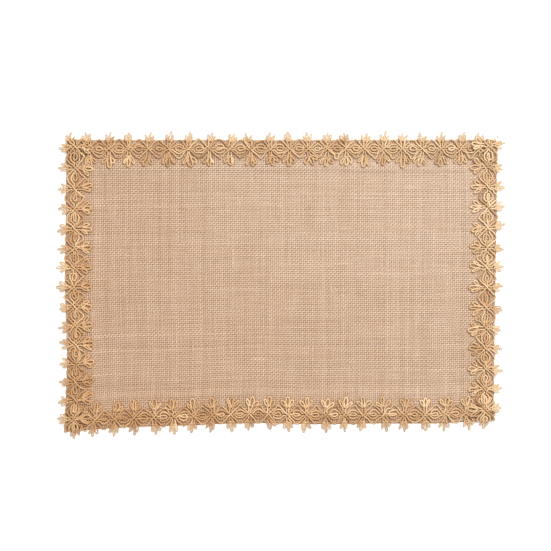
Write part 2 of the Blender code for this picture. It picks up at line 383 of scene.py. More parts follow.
def weave_hessian(settings, lace):
    """Every yarn of the cloth, as bands of long yarns and bands of cross yarns."""
    cover = LaceCover(lace)
    random = np.random.default_rng(settings.seed)
    half_a, half_b = cut_half(HALF_LENGTH), cut_half(HALF_WIDTH)
    columns = int(2 * half_a / settings.pitch)
    rows = int(2 * half_b / settings.pitch)
    column_pitch, row_pitch = 2 * half_a / columns, 2 * half_b / rows
    at_a = (np.arange(columns) + 0.5) * column_pitch - half_a
    at_b = (np.arange(rows) + 0.5) * row_pitch - half_b
    shape = (rows, columns)
    near, far = settings.wander, settings.drift
    wander_a = near * smoothed(random, shape, WANDER_SPANS) + far * smoothed(random, shape, DRIFT_SPANS)
    wander_b = near * smoothed(random, shape, WANDER_SPANS[::-1])
    wander_b += far * smoothed(random, shape, DRIFT_SPANS[::-1])
    inner = np.minimum((half_a - np.abs(at_a))[None, :], (half_b - np.abs(at_b))[:, None])
    hold = eased((inner - HEM_DEPTH) / DRIFT_DIES_OVER)
    a = at_a[None, :] + wander_a * hold
    b = at_b[:, None] + wander_b * hold
    over = (np.arange(rows)[:, None] + np.arange(columns)[None, :]) % 2 == 0
    lift = np.where(over, 1.0, -1.0) * settings.yarn_thickness / 2
    material = hessian_material(settings)

    def yarns(own_a, own_b, rise, side_axis, keep_step):
        """Tubes of the yarns that run along the last axis of the given arrays."""
        count, length = own_a.shape
        stations = 2 * length - 1
        at = np.arange(stations) / 2
        thick = np.ones((count, stations))
        for weight, span in WIDTH_CHANGES:
            thick += settings.unevenness * weight * smoothed(random, thick.shape, (0, span))
        slub = smoothed(random, thick.shape, (0, SLUB_SPAN))
        thick += np.clip(slub - SLUB_FROM, 0.0, 0.7) * 0.9
        thick = np.clip(thick, THINNEST, THICKEST + 0.3 * (slub > SLUB_FROM))
        tone = 0.55 * random.standard_normal((count, 1))
        for weight, span in TONE_CHANGES:
            tone = tone + weight * smoothed(random, thick.shape, (0, span))
        tubes = []
        for index in range(count):
            line_a = np.interp(at, np.arange(length), own_a[index])
            line_b = np.interp(at, np.arange(length), own_b[index])
            raised = np.interp(at, np.arange(length), rise[index])
            kept = mitre_kept(line_a, line_b)
            if not kept.any():
                continue
            first, end = max(runs_of(kept), key=lambda run: run[1] - run[0])
            if end - first < 4:
                continue
            line = lay_cloth(line_a, line_b, raised, settings)
            crown = np.where(np.arange(stations) % 2 == 0, 1.0, settings.between)
            wide = settings.yarn_width / 2 * thick[index] * crown
            high = settings.yarn_thickness / 2 * np.sqrt(thick[index])
            side = np.tile(np.array(side_axis, float), (stations, 1))
            rings = rings_along(line, side, wide, high, YARN_ANGLES)[first:end]
            run = at * keep_step + 0.013 * index
            on_face = (np.abs(line_a) < HALF_LENGTH) & (np.abs(line_b) < HALF_WIDTH)
            # Painted shade: the cloth's tone is lowered where the lace cords cover it and in the narrow gaps
            # between them, standing in for their shadow
            own = tone[index] - settings.painted_lace_shade * on_face * cover.at(line)
            tubes.append((rings, own[first:end], np.zeros(end - first), run[first:end]))
        return tubes

    long_yarns = yarns(a, b, lift, (0, 1, 0), column_pitch)
    cross_yarns = yarns(a.T, b.T, -lift.T, (-1, 0, 0), row_pitch)
    cross_bands = [
        band_piece(f"hessian_cross_yarns_{n + 1}", band, material, random, settings)
        for n, band in enumerate(bands_of(cross_yarns, settings.bands))
    ]
    for n, band in enumerate(bands_of(long_yarns, settings.bands)):
        piece = band_piece(f"hessian_long_yarns_{n + 1}", band, material, random, settings)


def bands_of(tubes, count):
    """The tubes in count bands of about the same number."""
    marks = np.linspace(0, len(tubes), count + 1).astype(int)
    return [tubes[start:end] for start, end in zip(marks, marks[1:])]


def band_piece(name, tubes, material, random, settings):
    """The object of one band of yarns, with its loose fibres."""
    piece = tubes_object(name, tubes + loose_fibres(random, tubes, settings.loose_fibres), material)
    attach(piece, "root")
    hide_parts("ground_cloth")
    return piece


# ---------------------------------------------------------------- lace

def smooth_line(points, step):
    """Evenly spaced points, about step apart, on a smooth line through the given ones."""
    p = np.asarray(points, float)
    padded = np.vstack([2 * p[0] - p[1], p, 2 * p[-1] - p[-2]])
    t = np.linspace(0.0, 1.0, 10, endpoint=False)[None, :, None]
    fine = curve_between(*(padded[k: len(p) - 1 + k, None] for k in range(4)), t)
    fine = np.vstack([fine.reshape(-1, 3), p[-1:]])
    gone = np.concatenate([[0.0], np.cumsum(np.linalg.norm(np.diff(fine, axis=0), axis=1))])
    count = max(int(gone[-1] / step), 3)
    at = np.linspace(0.0, gone[-1], count + 1)
    return np.stack([np.interp(at, gone, fine[:, k]) for k in range(3)], -1), at


# A fan's side petals' lean in degrees, their length and width, the middle petal's width, and how far aside
# the side petals' feet are and their layer. Sizes are in millimetres.
INNER_FAN = 34.0, 9.0, 2.5, 3.4, 1.2, 0.0
OUTER_FAN = 19.0, 7.9, 1.65, 1.5, 1.55, 0.3
FAN_FOOT = 7.0      # from the lace's middle
# The knot that holds the petals, and the stem up to it, as (along, outwards, layer)
KNOT = 0.9, FAN_FOOT - 0.2, 0.9
STEM = [(1.5, 1.6, 0.0), (0.8, 4.2, 0.1)]
# One petal as shares of its half width and of its length: open teardrops inside, closed buds outside
TEARDROP = [(-0.30, 0.16), (-0.85, 0.42), (-1.0, 0.68), (-0.72, 0.90), (0.0, 1.0),
            (0.72, 0.90), (1.0, 0.68), (0.85, 0.42), (0.30, 0.16)]
BUD = [(-0.60, 0.14), (-1.0, 0.36), (-1.0, 0.62), (-0.80, 0.87), (0.0, 1.0),
       (0.80, 0.87), (1.0, 0.62), (1.0, 0.36), (0.60, 0.14)]
# An eye's arch as shares of its half width and of its height
EYE_ARCH = [(-0.82, 0.60), (-0.42, 0.93), (0.0, 1.0), (0.42, 0.93), (0.82, 0.60)]


def fan_points(random, settings, inner):
    """One fan of three petals, as (along, outwards, layer) points in millimetres."""
    side_lean, side_length, side_width, middle_width, aside, layer = INNER_FAN if inner else OUTER_FAN

    def petal(lean, length, width, foot, layer=0.0):
        """A loop out from the foot and back, leaning by an angle from straight outwards."""
        wide, far = width * random.uniform(0.8, 1.2) / 2, length * random.uniform(0.93, 1.04)
        lean = math.radians(lean + random.normal(0, 4))
        bend = random.normal(0, 0.5)
        points = []
        for across, out in TEARDROP if inner else BUD:
            x = across * wide + bend * out * out
            y = out * far
            points.append((foot[0] + x * math.cos(lean) + y * math.sin(lean),
                           foot[1] - x * math.sin(lean) + y * math.cos(lean), layer))
        return points

    reach, foot = settings.petal_reach / MM + 0.2, FAN_FOOT
    spread = random.uniform(0.85, 1.15)
    left = petal(-side_lean * spread, side_length, side_width, (-aside, foot), layer)
    middle = petal(random.normal(0, 2), reach - foot, middle_width, (0.0, foot - 0.3))
    right = petal(side_lean * spread, side_length, side_width, (aside, foot), layer)
    stem_in = [(-across, out, rise) for across, out, rise in STEM]
    return stem_in + left + [(-KNOT[0], *KNOT[1:])] + middle + [KNOT] + right + STEM[::-1]


def eye_points(random, pitch, spiral):
    """Half of one eye between two crossings, as (along, outwards, layer) points in millimetres.

    It has an inner coil where spiral is True.
    """
    half = pitch / 2
    tall = random.uniform(3.9, 4.7)
    wide = random.uniform(4.7, 5.5)
    ring = [(3.0, 0.9, 0.0), (half - wide, 1.2, 0.0)]
    ring += [(half + wide * across, tall * out, 0.0) for across, out in EYE_ARCH]
    if not spiral:
        return ring + [(half + wide, 1.2, 0.0), (pitch - 3.0, 0.9, 0.0)]
    slim, long = random.uniform(1.0, 1.9), random.uniform(2.4, 2.9)
    coil = [(half + wide * 0.88, 0.4, 0.0), (half + long, -slim * 0.9, 0.05), (half, -slim * 1.15, 0.1),
            (half - long, -slim * 0.6, 0.1), (half - long, slim * 0.6, 0.1), (half, slim, 0.1),
            (half + long, slim * 0.6, 0.4), (half + wide, 0.3, 1.0), (pitch - 2.8, 0.6, 0.8)]
    return ring + coil


# A frame cord's first bends, how far before its turn and short of it the last bend is, and how far past
# the usual the turn is, for a swing outwards and for one inwards, in millimetres
OUT_SWING = ((2.3, 2.3), (4.6, 5.0), (6.6, 7.0)), 1.6, 0.5, -0.1
IN_SWING = ((2.3, 2.0), (5.0, 4.6), (7.0, 6.6)), 1.3, 0.9, 0.4
BEND_LAYERS = 1.3, 0.6, 0.25, 0.08


def frame_points(random, settings, pitch, swing, over):
    """A frame cord from one crossing to the next, swinging out (1) or in (-1), as points like a fan's."""
    half, tall = pitch / 2, settings.frame_reach / MM * random.uniform(0.91, 1.05)
    start = 1.9 if over else 0.95
    lean = random.normal(0, 0.6)
    bends, before, short, past = OUT_SWING if swing > 0 else IN_SWING
    bends = [*bends, (half - before + lean, tall - short)]
    rise = [(*bend, layer) for bend, layer in zip(bends, BEND_LAYERS)]
    there = [(x, swing * y, layer) for x, y, layer in rise]
    back = [(pitch - x + 2 * lean * (x > 8), swing * y, layer) for x, y, layer in rise]
    return [(0.0, 0.0, start)] + there + [(half + lean, swing * (tall + past), 0.05)] + back[::-1]


CORD_SIDES = 5
SMOOTHING_PASSES = 4
DROOP_POWER = 1.4
# Outer tips past the cloth's edge are painted pale and grey: painted light of the bright background washing
# them out
WASHOUT_START, WASHOUT_LENGTH = -0.5 * MM, 5 * MM     # from the cloth's edge


def crossings_of(side):
    """Where the frame cords cross, along the side, running past both of its ends."""
    pitch = LACE_PITCH * side.stretch
    repeats = round(side.run / LACE_PITCH)
    first = -side.run / 2 + side.shift - LACE_PITCH * (side.stretch - 1) * repeats / 2
    even = first + np.arange(-1, repeats + 2) * pitch
    return even + through(side.creep, (even / side.half + 1) / 2) * MM


def layer_height(layer, settings):
    """Height of a cord's middle over the cloth, from how many cords lie under it."""
    return settings.cord * settings.flatness * (0.5 + layer * settings.packing)


def finish_line(side, points, random, settings):
    """World line of a lace cord from its (along, outwards, layer) points in metres."""
    points = points.copy()
    points[:, :2] += random.normal(0, settings.jitter, (len(points), 2))
    points[:, 2] = RIM_TOP + layer_height(points[:, 2], settings)
    line, at = smooth_line(points, settings.step)
    for _ in range(SMOOTHING_PASSES):
        line[1:-1] = (line[:-2] + 2 * line[1:-1] + line[2:]) / 4
    along, out, height = line.T
    past_edge = np.maximum(out - LACE_INSET, 0.0)
    height = np.maximum(height, RIM_TOP + layer_height(0.0, settings))
    height -= settings.droop * (past_edge / (settings.petal_reach - LACE_INSET)) ** DROOP_POWER
    if side.lapped:
        lap = side.half - 2 * LACE_INSET - settings.lap_reach
        share = (np.abs(along) - lap) / settings.lap_ramp
        height += settings.lap_lift * eased(share)
    world = side.place(np.stack([along, out, height], -1))
    # Painted light: the outer tips are mixed towards a pale grey, more the further they reach past the
    # cloth's edge
    faded = side.faded * eased((past_edge - WASHOUT_START) / WASHOUT_LENGTH)
    return stray(world), at, along, faded


def plies_of(line, at, kept, faded, random, settings):
    """The twisted plies of one cord, cut to the stretches where kept is True."""
    tangent = normalised(np.gradient(line, axis=0))
    side = normalised(np.cross(np.array([0.0, 0.0, 1.0]), tangent))
    up = np.cross(tangent, side)

    def change(weight, span):
        """Chance changes along the cord, smoothed over a span of its points."""
        return weight * smoothed(random, (len(line),), (span,))

    twist = at / settings.twist_pitch + change(0.15, 25)
    radius = settings.ply / 2 * (1 + change(0.09, 6))
    radius *= 1 + change(0.08, 60)
    tone = change(0.55, 60) + change(0.55, 9)
    angles = angles_round(CORD_SIDES)
    off = (settings.cord - settings.ply) / 2
    tubes = []
    for ply in range(2):
        phase = 2 * math.pi * (twist + ply / 2)
        sideways, upwards = np.cos(phase)[:, None], np.sin(phase)[:, None]
        middle = line + off * (side * sideways + up * settings.flatness * upwards)
        own = tone + 0.35 * random.standard_normal()
        for first, end in runs_of(kept):
            if end - first < 5:
                continue
            part = slice(first, end)
            wide = radius[part]
            rings = rings_along(middle[part], side[part], wide, wide * settings.flatness, angles)
            tubes.append((rings, own[part], faded[part], at[part] + ply * 0.37))
    return tubes


def petal_row(side, inner, spirals, random, settings):
    """Points, in metres, of a side's outer or inner petal cord: (along, outwards, layer)."""
    crossings = crossings_of(side)
    pitches = np.diff(crossings, append=crossings[-1] + LACE_PITCH) / MM
    points = []
    for crossing, pitch, spiral in zip(crossings, pitches, spirals):
        fan = np.array(fan_points(random, settings, inner))
        turn = math.radians(random.normal(0, settings.fan_sway))
        sway = np.array([[math.cos(turn), -math.sin(turn)], [math.sin(turn), math.cos(turn)]])
        fan[2:-2, :2] = (fan[2:-2, :2] - (0, 3)) @ sway * random.uniform(0.94, 1.03) + (0, 3)
        eye = np.array(eye_points(random, pitch, spiral))
        for part in (fan, eye):
            part = part * (MM, MM, 1)
            part[:, 0] += crossing
            points.append(part)
    points = np.vstack(points[:-1])
    if inner:
        points[:, 1] *= -1
    return points


def frame_row(side, first_swing, random, settings):
    """Points, in metres, of a side's frame cord that first swings out (1) or in (-1)."""
    crossings = crossings_of(side)
    points = []
    for index, (crossing, pitch) in enumerate(zip(crossings, np.diff(crossings) / MM)):
        swing = first_swing if index % 2 == 0 else -first_swing
        part = np.array(frame_points(random, settings, pitch, swing, swing > 0)) * (MM, MM, 1)
        part[:, 0] += crossing
        points.append(part)
    return np.vstack(points)


def lace_lines(side, settings):
    """Lines of one side's four cords, and the random generator that drew them."""
    random = np.random.default_rng(settings.seed + SIDES.index(side))
    spirals = random.random(len(crossings_of(side))) < 0.5
    rows = {
        "outer_petal_cord": petal_row(side, False, spirals, random, settings),
        "inner_petal_cord": petal_row(side, True, ~spirals, random, settings),
        "frame_cord_a": frame_row(side, 1, random, settings),
        "frame_cord_b": frame_row(side, -1, random, settings),
    }
    lines = {}
    for name, points in rows.items():
        line, at, along, faded = finish_line(side, points, random, settings)
        lines[name] = line, at, np.abs(along) < side.half + settings.end_trim, faded
    return lines, random


class LaceCover:
    """How closely the cords cover the cloth, and how high they reach.

    The cover is 1 under the middle of a single cord and 0 well clear of any; it sets the cloth's painted
    shade.
    """

    CELL = 0.5 * MM
    SPREAD = 1.3 * MM
    MARGIN = 20 * MM
    MOST = 1.5
    NEAR = [(x, y) for x in range(-2, 3) for y in range(-2, 3)]     # cells that a cord's top reaches over

    def __init__(self, settings):
        self.low = np.array([-HALF_LENGTH, -HALF_WIDTH]) - self.MARGIN
        shape = (-2 * self.low[::-1] / self.CELL).astype(int)
        counts = np.zeros(shape)
        self.tops = np.full(shape, RIM_TOP)
        for side in SIDES:
            for line, at, kept, faded in lace_lines(side, settings)[0].values():
                column, row = self.cells(line[kept])
                np.add.at(counts, (row, column), 1)
                top = line[kept][:, 2] + settings.cord * settings.flatness / 2
                for shift_x, shift_y in self.NEAR:
                    np.maximum.at(self.tops, (row + shift_y, column + shift_x), top)
        span = self.SPREAD / self.CELL
        single = self.CELL ** 2 / (settings.step * self.SPREAD * math.sqrt(2 * math.pi))
        self.cover = np.minimum(spread_out(counts, (span, span), 1) / single, self.MOST)

    def cells(self, points):
        """Column and row of each point."""
        return ((points[:, :2] - self.low) / self.CELL).astype(int).T

    def at(self, points):
        """The cover at each point."""
        column, row = self.cells(points)
        return self.cover[row, column]

    def top_at(self, points):
        """Height of whatever lies uppermost at each point."""
        column, row = self.cells(points)
        return self.tops[row, column]


def braid_side(side, material, settings):
    """The four cords of one side's lace."""
    lines, random = lace_lines(side, settings)
    for name, (line, at, kept, faded) in lines.items():
        tubes = plies_of(line, at, kept, faded, random, settings)
        tubes += frayed_ends(random, tubes) + loose_fibres(random, tubes, settings.loose_fibres)
        piece = tubes_object(f"{side.name}_jute_{name}", tubes, material)
        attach(piece, "root")
        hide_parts(f"{side.name}_{name}")


STITCH_SIZES = 0.68, 0.80        # as shares of the way to the next
STITCH_SHARES = np.array([0.0, 0.04, 0.12, 0.3, 0.5, 0.7, 0.88, 0.96, 1.0])
STITCH_STEP = 0.5 * MM
SEAM_INSIDE_TURN = 1.4 * MM     # from the frame cords' turns
STITCH_DEPTH = 0.9 * MM         # that each stitch goes down into the cloth
STITCH_LIFT = 0.15 * MM         # over whatever it holds


def sew_side(side, material, settings, cover):
    """Both rows of stitches that hold one side's lace down."""
    random = np.random.default_rng(settings.seed + 10 + SIDES.index(side))
    for name, sign in (("outer_seam_thread", 1), ("inner_seam_thread", -1)):
        count = int(2 * side.half / settings.stitch)
        tubes = []
        starts = -side.half + (np.arange(count) + 0.12) * settings.stitch
        for start in starts:
            size = settings.stitch * random.uniform(*STITCH_SIZES)
            across = sign * (side.apex - SEAM_INSIDE_TURN) + random.normal(0, 0.2 * MM)
            shape = np.zeros((len(STITCH_SHARES), 3))
            shape[:, 0] = start + STITCH_SHARES * size
            shape[:, 1] = across + random.normal(0, 0.08 * MM, len(STITCH_SHARES))
            shape = stray(side.place(shape))
            shape[:, 2] = cover.top_at(shape) + STITCH_LIFT
            shape[[0, -1], 2] = RIM_TOP - STITCH_DEPTH
            shape[[1, -2], 2] = np.minimum(shape[[1, -2], 2], RIM_TOP + 0.2 * MM)
            line, at = smooth_line(shape, STITCH_STEP)
            radius = np.full(len(line), settings.thread / 2)
            level = np.tile(np.array(side.out, float), (len(line), 1))
            rings = rings_along(line, level, radius, radius, angles_round(CORD_SIDES))
            tubes.append((rings, np.full(len(line), random.normal(0, 0.5)), np.zeros(len(line)), at))
        piece = tubes_object(f"{side.name}_{name}_stitches", tubes, material)
        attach(piece, "root")
        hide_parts(f"{side.name}_{name}")


# ---------------------------------------------------------------- materials

def add_node(tree, kind, feeds=None, **settings):
    """A node with its settings, and its inputs either set or linked."""
    node = tree.nodes.new(kind)
    for key, value in settings.items():
        setattr(node, key, value)
    for socket, value in (feeds or {}).items():
        target = node.inputs[socket]
        if isinstance(value, bpy.types.NodeSocket):
            tree.links.new(value, target)
        else:
            target.default_value = value
    return node


def noise(tree, scale, detail, **feeds):
    """Values of a noise."""
    return add_node(tree, "ShaderNodeTexNoise", {"Scale": scale, "Detail": detail, **feeds}).outputs[0]


def calculate(tree, operation, first, second=0.0, third=0.0, clamp=False):
    """The outcome of one sum on up to three values."""
    return add_node(tree, "ShaderNodeMath", {0: first, 1: second, 2: third}, operation=operation,
                    use_clamp=clamp).outputs[0]


def ranged(tree, value, low, high, first=0.0, last=1.0, **settings):
    """The value's place between low and high, carried over to first and last."""
    return add_node(tree, "ShaderNodeMapRange", {0: value, 1: low, 2: high, 3: first, 4: last},
                    **settings).outputs[0]


def blended(tree, amount, first, second, blend="MIX"):
    """The first colour with the second mixed into it."""
    return add_node(tree, "ShaderNodeMix", {0: amount, 6: first, 7: second}, data_type="RGBA",
                    blend_type=blend).outputs[2]


def new_group(name, inputs, outputs):
    """An empty node group, from its inputs' defaults and its outputs' kinds by name."""
    group = bpy.data.node_groups.new(name, "ShaderNodeTree")
    for socket, default in inputs.items():
        kind = "NodeSocketColor" if isinstance(default, tuple) else "NodeSocketFloat"
        made = group.interface.new_socket(name=socket, in_out="INPUT", socket_type=kind)
        made.default_value = default
    for socket, kind in outputs.items():
        group.interface.new_socket(name=socket, in_out="OUTPUT", socket_type=kind)
    start, end = group.nodes.new("NodeGroupInput"), group.nodes.new("NodeGroupOutput")
    return group, start, end


def fibre_group():
    """Long fine streaks that run with the fibres, slightly across the lie of a twisted yarn."""
    if "Jute fibres" in bpy.data.node_groups:
        return bpy.data.node_groups["Jute fibres"]
    group, start, end = new_group(
        "Jute fibres",
        {"Twist": 250.0, "Fineness": 9.0, "Stretch": 160.0},
        {"Streaks": "NodeSocketFloat", "Clumps": "NodeSocketFloat"},
    )
    lie = add_node(group, "ShaderNodeUVMap", uv_map="lie").outputs[0]
    parts = add_node(group, "ShaderNodeSeparateXYZ", {0: lie})
    turned = calculate(group, "MULTIPLY_ADD", parts.outputs[0], start.outputs["Twist"], parts.outputs[1])
    angle = calculate(group, "MULTIPLY", turned, 2 * math.pi)
    along = calculate(group, "MULTIPLY", parts.outputs[0], start.outputs["Stretch"])
    across = calculate(group, "MULTIPLY", calculate(group, "COSINE", angle), start.outputs["Fineness"])
    deep = calculate(group, "MULTIPLY", calculate(group, "SINE", angle), start.outputs["Fineness"])
    place = add_node(group, "ShaderNodeCombineXYZ", {0: along, 1: across, 2: deep}).outputs[0]
    group.links.new(noise(group, 1.0, 3.0, Vector=place, Roughness=0.6), end.inputs["Streaks"])
    group.links.new(noise(group, 0.31, 1.0, Vector=place), end.inputs["Clumps"])
    return group


def jute_colour_group():
    """Colour of jute from its darkest to its palest fibres, drifting in tone over the mat, with painted light
    that washes out the outer tips.
    """
    if "Jute colour" in bpy.data.node_groups:
        return bpy.data.node_groups["Jute colour"]
    group, start, end = new_group(
        "Jute colour",
        {"Shade": 0.5, "Dark": (0.3, 0.2, 0.1, 1.0), "Middle": (0.6, 0.4, 0.2, 1.0),
         "Pale": (0.8, 0.6, 0.4, 1.0), "Warm": (0.7, 0.45, 0.25, 1.0), "Drift": 0.3,
         "Bleached": (0.58, 0.50, 0.395, 1.0), "Bleach": 0.0},
        {"Colour": "NodeSocketColor"},
    )
    place = add_node(group, "ShaderNodeNewGeometry").outputs["Position"]
    low = calculate(group, "MULTIPLY", start.outputs["Shade"], 2.0, clamp=True)
    high = calculate(group, "MULTIPLY_ADD", start.outputs["Shade"], 2.0, -1.0, clamp=True)
    colour = blended(group, low, start.outputs["Dark"], start.outputs["Middle"])
    colour = blended(group, high, colour, start.outputs["Pale"])
    broad, fine = (noise(group, scale, 2.0, Vector=place) for scale in (7.0, 55.0))
    mixed = calculate(group, "MULTIPLY_ADD", fine, 0.5, calculate(group, "MULTIPLY", broad, 0.5))
    mask = ranged(group, mixed, 0.40, 0.62)
    parts = add_node(group, "ShaderNodeSeparateXYZ", {0: place}).outputs
    # A slope across the whole mat: the warm, darker tint grows towards the left and the front
    left_front_slope = calculate(group, "MULTIPLY_ADD", parts[0], -0.42 / HALF_LENGTH, 0.38)
    left_front_slope = calculate(group, "MULTIPLY_ADD", parts[1], -0.28 / HALF_WIDTH, left_front_slope)
    mask = calculate(group, "MULTIPLY_ADD", mask, 0.35, left_front_slope, clamp=True)
    amount = calculate(group, "MULTIPLY", mask, start.outputs["Drift"])
    colour = blended(group, amount, colour, blended(group, 1.0, colour, start.outputs["Warm"], "MULTIPLY"))
    # Painted light: mixed towards the pale grey washout colour at the outer tips
    colour = blended(group, start.outputs["Bleach"], colour, start.outputs["Bleached"])
    group.links.new(colour, end.inputs["Colour"])
    return group


def hollow_shade_group():
    """Painted shade: 1 where a yarn's or cord's surface turns down into the hollows beside it, and 0 on its
    crown.
    """
    if "Painted hollow shade" in bpy.data.node_groups:
        return bpy.data.node_groups["Painted hollow shade"]
    group, start, end = new_group("Painted hollow shade", {}, {"Depth": "NodeSocketFloat"})
    normal = add_node(group, "ShaderNodeNewGeometry").outputs["Normal"]
    steepness = calculate(group, "ABSOLUTE", add_node(group, "ShaderNodeSeparateXYZ", {0: normal}).outputs[2])
    painted_shade = ranged(group, steepness, 0.85, 0.15, interpolation_type="SMOOTHSTEP")
    group.links.new(painted_shade, end.inputs["Depth"])
    return group


def jute_material(name, settings, lie, warm, drift, base, weights, bump_height, sheen, roughness):
    """Matte jute or thread.

    lie is how its fibres lie: (twist, fineness, stretch). warm tints the warmer parts, as much as drift
    says. base is its usual shade, and weights are how far tone, streaks, clumps and the painted shade of
    hollows move it.
    """
    if name in bpy.data.materials:
        return bpy.data.materials[name]
    material = bpy.data.materials.new(name)
    material.use_nodes = True
    tree = material.node_tree
    shader = tree.nodes["Principled BSDF"]
    fibres = add_node(tree, "ShaderNodeGroup", dict(zip(("Twist", "Fineness", "Stretch"), lie)),
                      node_tree=fibre_group())
    tone = add_node(tree, "ShaderNodeAttribute", attribute_name="tone").outputs["Fac"]
    streak = calculate(tree, "SUBTRACT", fibres.outputs["Streaks"], 0.5)
    clump = calculate(tree, "SUBTRACT", fibres.outputs["Clumps"], 0.5)
    hollow_shade = add_node(tree, "ShaderNodeGroup", node_tree=hollow_shade_group()).outputs["Depth"]
    shade = base
    # The last weight darkens the sides that turn down into the hollows: painted shade
    for value, weight, clamp in zip((tone, streak, clump, hollow_shade), weights, (False, False, True, True)):
        shade = calculate(tree, "MULTIPLY_ADD", value, weight, shade, clamp=clamp)
    # Painted light: the washout attribute mixes the outer tips towards a pale grey
    faded = add_node(tree, "ShaderNodeAttribute", attribute_name="faded").outputs["Fac"]
    colours = {"Dark": settings.dark, "Middle": settings.colour, "Pale": settings.pale, "Warm": warm}
    feeds = {key: (*value, 1.0) for key, value in colours.items()}
    colour = add_node(tree, "ShaderNodeGroup", {"Shade": shade, "Bleach": faded, "Drift": drift, **feeds},
                      node_tree=jute_colour_group())
    tree.links.new(colour.outputs["Colour"], shader.inputs["Base Color"])
    rough = ranged(tree, fibres.outputs["Streaks"], 0.3, 0.7, roughness + 0.08, roughness - 0.12)
    tree.links.new(rough, shader.inputs["Roughness"])
    bump = add_node(tree, "ShaderNodeBump", {"Height": fibres.outputs["Streaks"], "Strength": 0.8,
                                             "Distance": bump_height})
    tree.links.new(bump.outputs[0], shader.inputs["Normal"])
    shader.inputs["Specular IOR Level"].default_value = 0.25
    shader.inputs["Sheen Weight"].default_value = sheen
    shader.inputs["Sheen Roughness"].default_value = 0.45
    shader.inputs["Sheen Tint"].default_value = (1.0, 0.90, 0.76, 1.0)
    return material


def hessian_material(settings):
    return jute_material("Hessian yarn", settings, lie=(190.0, 4.0, 130.0), warm=(0.90, 0.80, 0.70),
                         drift=0.8, base=0.565, weights=(0.075, 0.65, 0.25, -0.13),
                         bump_height=0.10 * MM, sheen=0.05, roughness=0.86)


def cord_material(settings):
    return jute_material("Jute cord", settings, lie=(330.0, 3.0, 150.0), warm=(0.89, 0.755, 0.61),
                         drift=0.8, base=0.60, weights=(0.13, 0.75, 0.40, -0.48),
                         bump_height=0.10 * MM, sheen=0.08, roughness=0.78)


def thread_material(settings):
    return jute_material("Sewing thread", settings, lie=(900.0, 2.0, 400.0), warm=(1.0, 0.94, 0.88),
                         drift=0.4, base=0.50, weights=(0.08, 0.40, 0.2, -0.3),
                         bump_height=0.04 * MM, sheen=0.05, roughness=0.6)


# ---------------------------------------------------------------- stage

FLOOR_STEPS = 24
GLOW_START, GLOW_END = -6 * MM, 2 * MM      # about the cloth's edge
FILL_COLOUR = (1.0, 0.88, 0.74, 1.0)
# Each softbox's place and width
KEY_SOFTBOX = (0.95, 1.5, 2.2), 1.6
TOP_SOFTBOX = (-0.6, -0.6, 2.8), 2.4


def build_floor(settings):
    """A pale floor that gives off a little light, except under the mat."""
    size = settings.floor_size
    count = FLOOR_STEPS + 1
    across = np.linspace(-size / 2, size / 2, count)
    points = [(x, y, 0.0) for y in across for x in across]
    faces = [(r * count + c, r * count + c + 1, (r + 1) * count + c + 1, (r + 1) * count + c)
             for r in range(FLOOR_STEPS) for c in range(FLOOR_STEPS)]
    mesh = bpy.data.meshes.new("floor")
    mesh.from_pydata(points, [], faces)
    material = bpy.data.materials.new("Pale studio floor")
    material.use_nodes = True
    tree = material.node_tree
    shader = tree.nodes["Principled BSDF"]
    paler = [min(1.0, value * 1.01) for value in settings.floor]
    tone = blended(tree, noise(tree, 3.0, 2.0), (*settings.floor, 1.0), (*paler, 1.0))
    tree.links.new(tone, shader.inputs["Base Color"])
    shader.inputs["Roughness"].default_value = 0.9
    shader.inputs["Specular IOR Level"].default_value = 0.1
    position = add_node(tree, "ShaderNodeNewGeometry").outputs["Position"]
    place = add_node(tree, "ShaderNodeSeparateXYZ", {0: position})
    past = []
    for axis, half in enumerate((HALF_LENGTH, HALF_WIDTH)):
        reach = calculate(tree, "ABSOLUTE", place.outputs[axis])
        past.append(ranged(tree, reach, half + GLOW_START, half + GLOW_END,
                           interpolation_type="SMOOTHSTEP"))
    glow = blended(tree, calculate(tree, "MAXIMUM", past[0], past[1]), (0.0, 0.0, 0.0, 1.0), tone)
    tree.links.new(glow, shader.inputs["Emission Color"])
    shader.inputs["Emission Strength"].default_value = settings.floor_glow
    mesh.materials.append(material)
    floor = bpy.data.objects.new("studio_floor", mesh)
    bpy.context.scene.collection.objects.link(floor)


def add_softbox(name, place, size, power):
    """A square softbox that looks at the middle of the mat."""
    light = bpy.data.lights.new(name, "AREA")
    light.shape = "SQUARE"
    light.size = size
    light.energy = power
    lamp = bpy.data.objects.new(name, light)
    lamp.location = place
    lamp.rotation_euler = (-Vector(place)).to_track_quat("-Z", "Y").to_euler()
    bpy.context.scene.collection.objects.link(lamp)


def set_stage(settings):
    """The floor, the light and the camera over the mat."""
    scene = bpy.context.scene
    scene.view_settings.view_transform = "Standard"
    scene.view_settings.look = "None"
    build_floor(settings)
    world = bpy.data.worlds.new("studio")
    world.use_nodes = True
    fill = world.node_tree.nodes["Background"]
    fill.inputs["Color"].default_value = FILL_COLOUR
    fill.inputs["Strength"].default_value = settings.fill
    scene.world = world
    add_softbox("key_softbox", *KEY_SOFTBOX, settings.key)
    add_softbox("top_softbox", *TOP_SOFTBOX, settings.top)

    lens = bpy.data.cameras.new("camera")
    lens.sensor_width = 36.0
    lens.lens = lens.sensor_width * settings.camera_height / settings.view_width
    lens.clip_end = 50.0
    camera = bpy.data.objects.new("camera", lens)
    camera.location = (settings.aim[0], settings.aim[1], settings.camera_height)
    scene.collection.objects.link(camera)
    scene.camera = camera


# ---------------------------------------------------------------- settings

def length_property(name, description, default, **limits):
    """A property that holds a length."""
    return FloatProperty(name=name, description=description, default=default, unit="LENGTH", precision=5,
                         **limits)


def share_property(name, description, default, low, high):
    """A property that holds a share of something."""
    return FloatProperty(name=name, description=description, default=default, min=low, max=high,
                         subtype="FACTOR")


